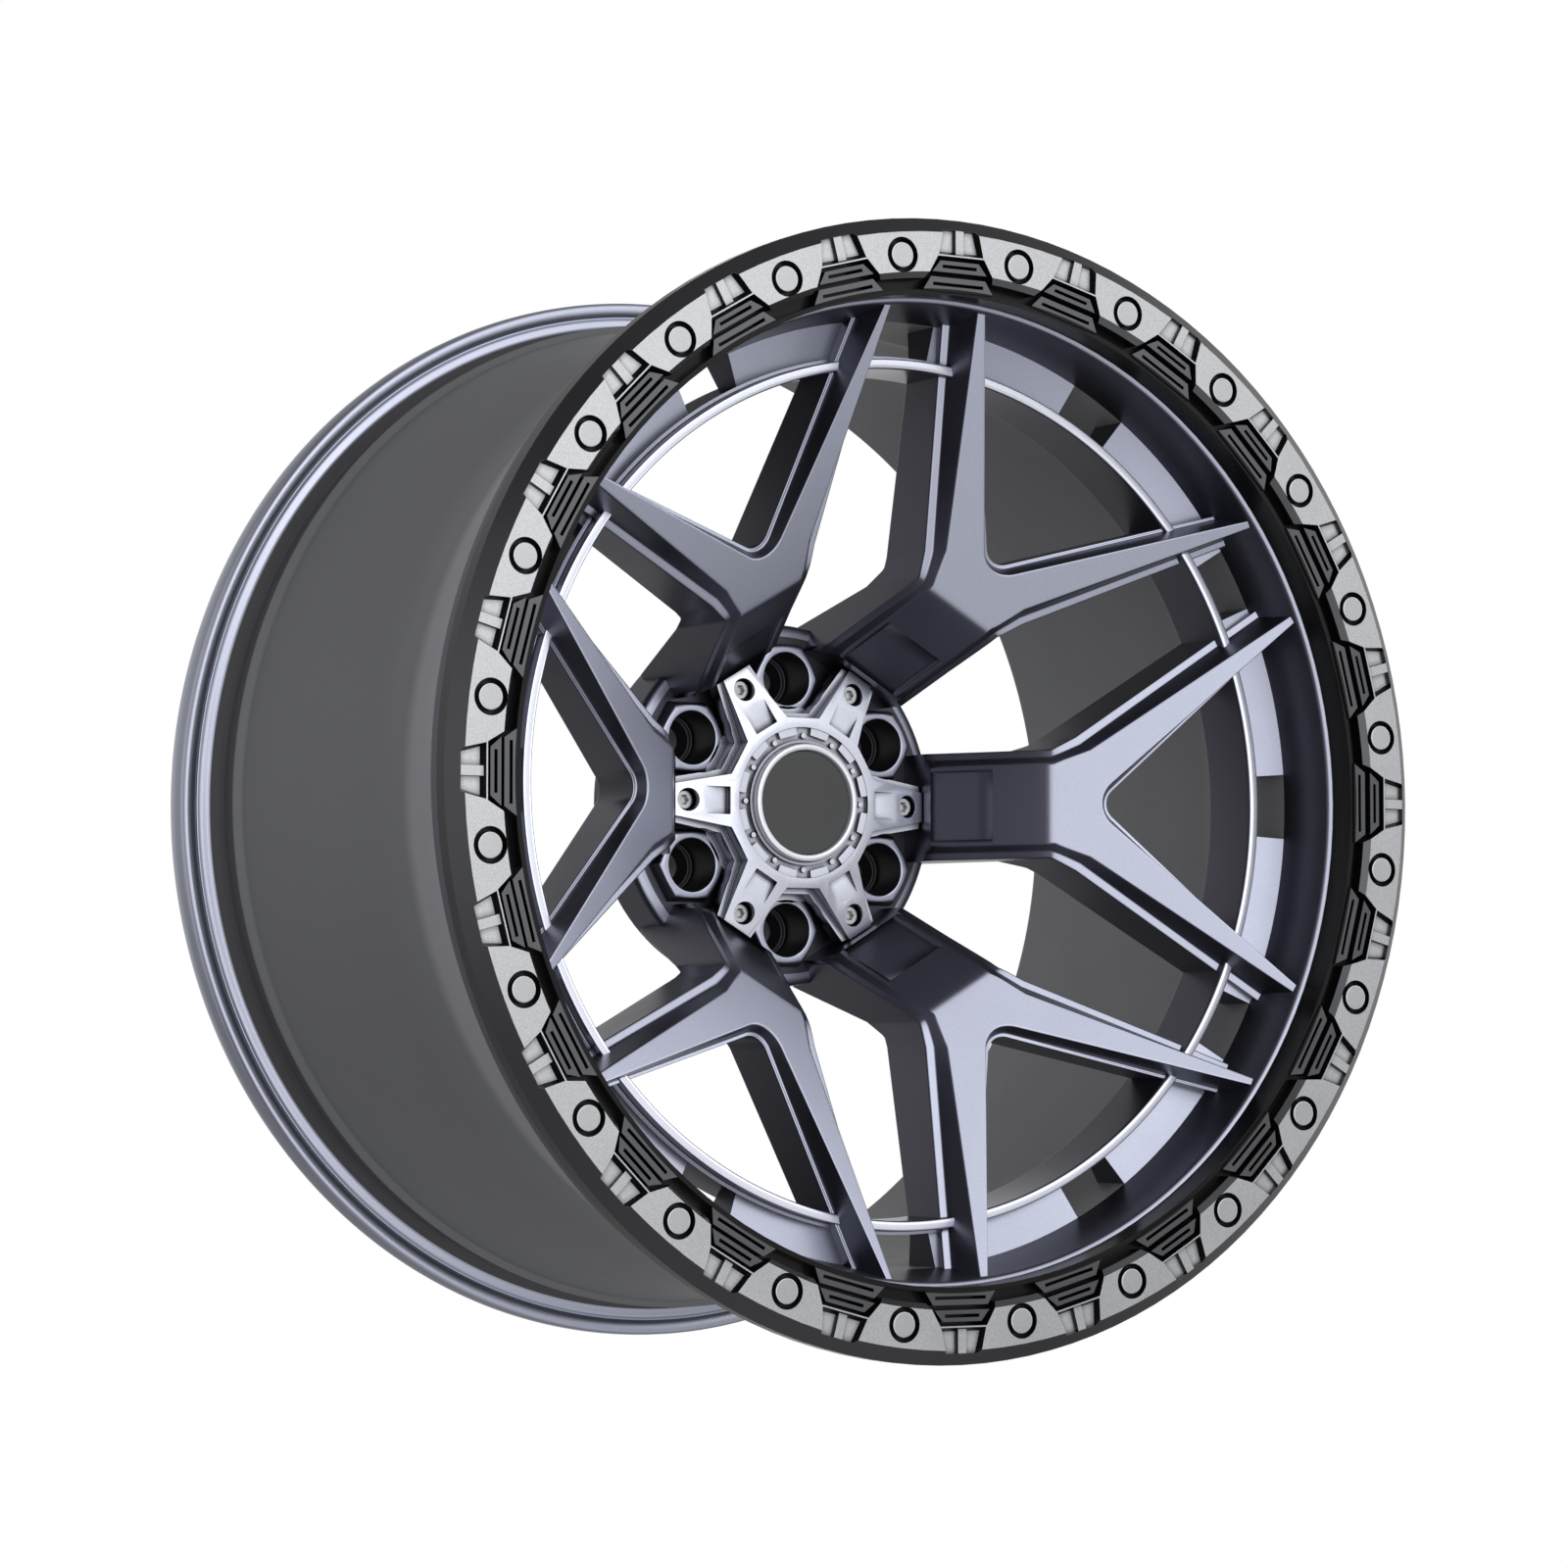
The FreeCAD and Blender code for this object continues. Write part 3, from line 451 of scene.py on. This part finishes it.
def around(points, faces, copies, first=0.0):
    """The same points and faces repeated evenly about the spin axis, each copy turned by its angle."""
    turns = np.radians(first + 360.0 / copies * np.arange(copies))[:, None]
    x, y, z = points[:, 0], points[:, 1], points[:, 2]
    placed = np.stack([x * np.cos(turns) - z * np.sin(turns), np.broadcast_to(y, (copies, len(y))),
                       x * np.sin(turns) + z * np.cos(turns)], -1).reshape(-1, 3)
    return placed, [[v + i * len(points) for v in face] for i in range(copies) for face in faces]


spoke_points, spoke_faces = around(spoke_points, spoke_faces, 6)
spokes = piece("spokes", spoke_points, spoke_faces, [gunmetal])
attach(spokes, "root")
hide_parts("wheel")

# Hub: the middle of the casting, a round flange with a raised boss round each lug pocket, and a conical
# seat and a stud hole in each. The mounting pad on the inboard side is machined flat.

hub_front, hub_back, hub_radius, bore_radius = 184.0, 216.5, 101.0, 53.05
lug_radius, boss_radius, pocket_radius, stud_radius = 69.85, 19.5, 14.5, 7.75
floor_radius, pad_radius, pad_depth = 94.0, 92.0, 215.0
boss_top, seat_depth, seat_radius, seat_end = 176.0, 201.0, 11.5, 207.0
fine = np.arange(0.0, 360.0, 3.0)


def pierced(depth, outer, inner, hole_radius, inboard=False):
    """A flat ring with the six lug holes left open, as triangles that face outboard or inboard."""
    turn = np.radians(fine)
    circle = np.stack([np.cos(turn), np.zeros_like(turn), np.sin(turn)], -1)
    lugs = np.radians(30 + 60.0 * np.arange(6))
    centres = lug_radius * np.stack([np.cos(lugs), np.zeros(6), np.sin(lugs)], -1)
    loops = [outer * circle, inner * circle] + [hole_radius * circle + centre for centre in centres]
    loops = [loop + (0.0, depth, 0.0) for loop in loops]
    faces = geometry.tessellate_polygon([[Vector((p[0], p[2], 0)) for p in loop] for loop in loops])
    return np.concatenate(loops), [face[::-1] if inboard else face for face in faces]


edge_path = rounded([(floor_radius, hub_front, 0), (hub_radius, hub_front, 5), (hub_radius, pad_depth, 1),
                     (pad_radius, pad_depth, 0), (pad_radius, hub_back, 0)])
bore_path = np.array([[bore_radius, hub_back], [bore_radius, hub_front]])
boss_path = rounded([(boss_radius + 2, hub_front + 1, 0), (boss_radius, boss_top, 2.2),
                     (pocket_radius, boss_top, 1.2), (pocket_radius - 0.3, seat_depth, 1),
                     (seat_radius, seat_depth, 0.6), (stud_radius, seat_end, 0.5), (stud_radius, hub_back, 0)])
boss = turned(boss_path, fine)
# The outside of a boss has six flats; they fade into the round pocket over the first rows of the path.
boss_half_flat, first_pocket_row = 18.4, 9
six_sided = boss_half_flat / boss_radius / np.cos(np.radians((fine + 30.0) % 60.0 - 30.0))
fade = np.linspace(1, 0, first_pocket_row)
outside = fade[np.minimum(np.arange(len(boss_path)), first_pocket_row - 1)]
boss *= np.where(np.arange(3) == 1, 1.0, 1 + (outside[:, None] * (six_sided - 1)).reshape(-1, 1))
boss += (lug_radius, 0, 0)
groups = [(turned(edge_path, fine), grid(len(edge_path), len(fine), flip=True).tolist()),
          (turned(bore_path, fine), grid(2, len(fine), flip=True).tolist()),
          around(boss, grid(len(boss_path), len(fine)).tolist(), 6, 30.0),
          pierced(hub_front, floor_radius, bore_radius, pocket_radius),
          pierced(hub_back, pad_radius, bore_radius, stud_radius, inboard=True)]
offsets = np.cumsum([0] + [len(points) for points, faces in groups])
hub_faces = [[v + offset for v in face] for (points, faces), offset in zip(groups, offsets) for face in faces]
hub_points = np.concatenate([points for points, faces in groups])
# Painted shade: near-black in the pockets, for the shade in the deep holes, and a dark grey on the floor between
# the bosses, for the shade there.
pocket_painted_shade = metal("painted shade in the lug pockets", "#27272B", 0.35, 0.6)
floor_painted_shade = metal("gunmetal hub floor, painted shade", "#4C4C54", 0.4)
on_hub, in_pocket, on_floor = range(3)
boss_finish = np.where(np.arange(len(boss_path) - 1) >= first_pocket_row, in_pocket, on_hub)
group_finish = [on_hub, on_hub, np.tile(np.repeat(boss_finish, len(fine)), 6), on_floor, on_hub]
hub_finish = np.concatenate([np.broadcast_to(finish, len(faces))
                             for finish, (points, faces) in zip(group_finish, groups)])
hub = piece("hub", hub_points, hub_faces, [gunmetal, pocket_painted_shade, floor_painted_shade], hub_finish)
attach(hub, "root")
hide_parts("wheel")

# Trim ring: a milled aluminium ring, bolted to the outboard flange. Its lands are machined bright, its
# slotted bars are left grey, and the bevel, the notches and the channel are black: black paint, with
# painted shade in the deep channel, the notches and the inner corners.


def finished(name, source, width, materials, angle=25.0):
    """A copy of a turned or milled piece with its corners rounded off."""
    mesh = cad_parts[source].data.copy()
    work = bmesh.new()
    work.from_mesh(mesh)
    bmesh.ops.remove_doubles(work, verts=work.verts, dist=2e-6)
    bmesh.ops.dissolve_limit(work, angle_limit=np.radians(0.5), verts=work.verts, edges=work.edges)
    work.to_mesh(mesh)
    work.free()
    mesh.materials.clear()
    for material in materials:
        mesh.materials.append(material)
    mesh.shade_smooth()
    made = bpy.data.objects.new(name, mesh)
    scene.collection.objects.link(made)
    corners = made.modifiers.new("rounded corners", "BEVEL")
    corners.width = width / 1000.0
    corners.segments = 2
    corners.limit_method = "ANGLE"
    corners.angle_limit = np.radians(angle)
    made.modifiers.new("flat sides stay flat", "WEIGHTED_NORMAL").keep_sharp = True
    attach(made, "root")
    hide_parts(source)
    return made


# Bead-blasted bright metal with a fine sparkle on the lands, next to black that is partly paint and partly painted
# shade in the deep recesses and inner corners.
ring_finish = metal("machined ring face, grey bars, black recesses", "#BCBEC1", 0.24, grain=0.8, speckle=0.08,
                    painted_shade_reach=3.5)
land_depth, bar_depth = 0.6, 4.25
bar_inner, land_inner, chamfer_outer, bevel_inner = 262.5, 279.0, 285.0, 291.5
flat_lean, chamfer_lean = -0.85, -0.65
tree = ring_finish.node_tree
shader = tree.nodes["Principled BSDF"]
shader.inputs["Specular IOR Level"].default_value = 0.2
machined = shader.inputs["Base Color"].links[0].from_socket
spot = node(tree, "ShaderNodeTexCoord").outputs
depth = node(tree, "ShaderNodeSeparateXYZ", {0: spot["Object"]}).outputs["Y"]
lean = node(tree, "ShaderNodeSeparateXYZ", {0: spot["Normal"]}).outputs["Y"]
flat_place = node(tree, "ShaderNodeVectorMath", {0: spot["Object"], 1: (1, 0, 1)}, operation="MULTIPLY").outputs[0]
radius = node(tree, "ShaderNodeVectorMath", {0: flat_place}, operation="LENGTH").outputs["Value"]


def both(one, other, operation="MINIMUM"):
    """Two masks or values joined by one sum; MINIMUM is where both hold, MAXIMUM where either does."""
    return node(tree, "ShaderNodeMath", {0: one, 1: other}, operation=operation).outputs[0]


near_face = both(depth, (bar_depth - half_width) / 1000, "LESS_THAN")
land = both(depth, (land_depth - half_width) / 1000, "LESS_THAN")
outer = both(radius, land_inner / 1000, "GREATER_THAN")
flat = both(lean, flat_lean, "LESS_THAN")
chamfer = both(both(lean, chamfer_lean, "LESS_THAN"), both(radius, chamfer_outer / 1000, "LESS_THAN"))
bare = both(both(near_face, both(flat, chamfer, "MAXIMUM")), both(radius, bar_inner / 1000, "GREATER_THAN"))
bright = both(flat, both(outer, land, "MAXIMUM"))
bevel = both(both(radius, bevel_inner / 1000, "GREATER_THAN"), both(lean, flat_lean, "GREATER_THAN"))
paint = node(tree, "ShaderNodeMix", {"Factor": bright, 6: colour("#606164"), 7: machined}, data_type="RGBA")
# Off the flat faces and chamfers, and deeper or further in than the bars, the ring is near-black: black paint on
# the walls, painted shade in the deep channel and notches.
paint = node(tree, "ShaderNodeMix", {"Factor": bare, 6: colour("#0C0C0D"), 7: paint.outputs[2]}, data_type="RGBA")
paint = node(tree, "ShaderNodeMix", {"Factor": bevel, 6: paint.outputs[2], 7: colour("#464649")}, data_type="RGBA")
tree.links.new(paint.outputs[2], shader.inputs["Base Color"])
tree.links.new(both(bare, bevel, "MAXIMUM"), shader.inputs["Metallic"])

ring = finished("trim_ring_finish", "trim_ring", 0.35, [ring_finish])

# Ring bolts: 24 plated steel bolts with flush round heads, one between each pair of notches.
# They hold the ring to the flange, each in a recess that shows as a dark line round its head: the ring's
# black paint on its wall, with painted shade in the corner.

# Zinc plating: bright and nearly smooth, with painted shade in its inner corners.
bright_steel = metal("bright plated steel", "#B6B8BA", 0.26, painted_shade_reach=1.5)
bolts = finished("ring_bolt_heads", "ring_bolts", 0.6, [bright_steel])

# Hub cap: a moulded six-arm star with a pocket in each arm and pads in its channel.
# It sits on the hub, with a plug in the bore.

# Silver paint on plastic: pale on top; the darker grey down the sides and in the corners is painted shade.
silver = metal("satin silver cap, painted shade on sides and in corners", "#CDD0DC", 0.28, walls="#5A5C66", painted_shade_reach=4.0)
cap = finished("hub_cap_star", "hub_cap", 0.6, [silver])

# Cap screws: six plated socket-head screws, one in each arm of the cap.
# They are of the same bright steel as the ring bolts.

screws = finished("cap_socket_screws", "cap_screws", 0.3, [bright_steel])

# Cap bezel: a rounded ring pressed into the cap round the disc.
# It is plastic with a satin metal coat.

# A soft gleam, less sharp than bare metal.
chrome = metal("satin bezel", "#DADCE2", 0.38, 0.6)
bezel = finished("cap_bezel_ring", "cap_bezel", 0.3, [chrome])

# Cap disc: a plain round medallion inside the bezel.
# It is a moulded plastic plate, glued in.

# Dull dark plastic.
disc_grey = metal("plain grey disc", "#303132", 0.45, 0.0)
disc = finished("cap_disc_plain", "cap_disc", 0.3, [disc_grey])
